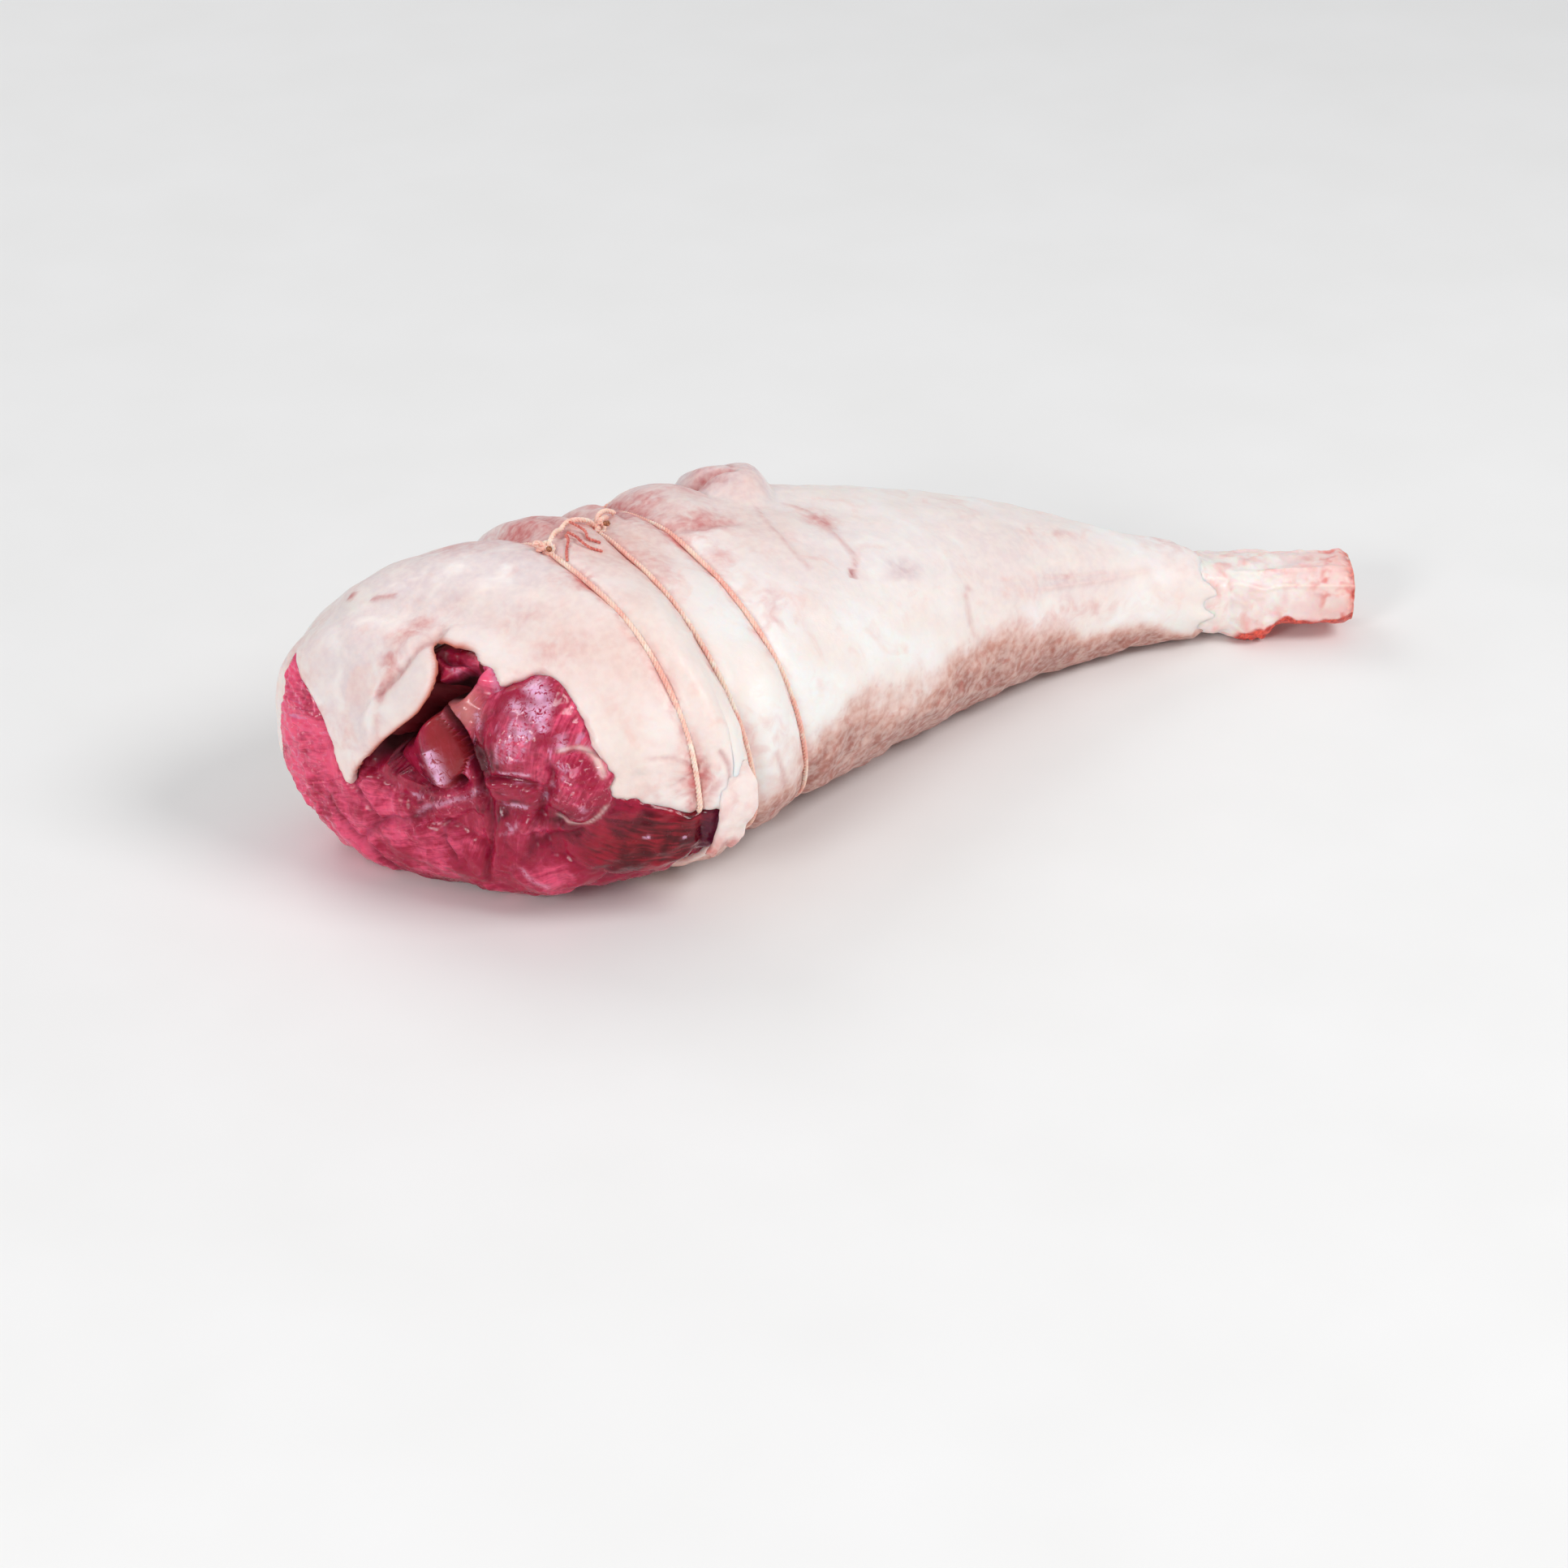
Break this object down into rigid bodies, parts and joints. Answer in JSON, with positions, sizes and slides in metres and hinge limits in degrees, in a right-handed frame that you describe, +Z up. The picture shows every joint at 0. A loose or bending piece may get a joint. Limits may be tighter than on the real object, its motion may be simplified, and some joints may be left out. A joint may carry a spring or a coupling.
{
  "type": "raw leg of lamb",
  "caption": "Raw bone-in leg of lamb under a pale fat cover, tied with butcher's string, with a red cut face at the thick end and a sawn knuckle at the shank.",
  "frame": {"origin": "on the table, under the middle of the whole leg's box", "axes": "+Z up, +X from the cut thick end towards the shank, +Y to the far side, away from the side that shows the cut face and the turned knuckle"},
  "size_m": [0.3974, 0.1546, 0.105],
  "materials": {
    "fat": "moist pale fat with pink and lilac veils of membrane",
    "meat": "wet dark pink-red cut muscle",
    "bone": "pale pink gristle over bone, blood red in its saw marks",
    "twine": "two-ply cotton string stained pink"
  },
  "bodies": {
    "root": {"leg": "fat", "shank_bone": "bone", "string_1": "twine", "string_2": "twine", "string_3": "twine"}
  },
  "joints": []
}
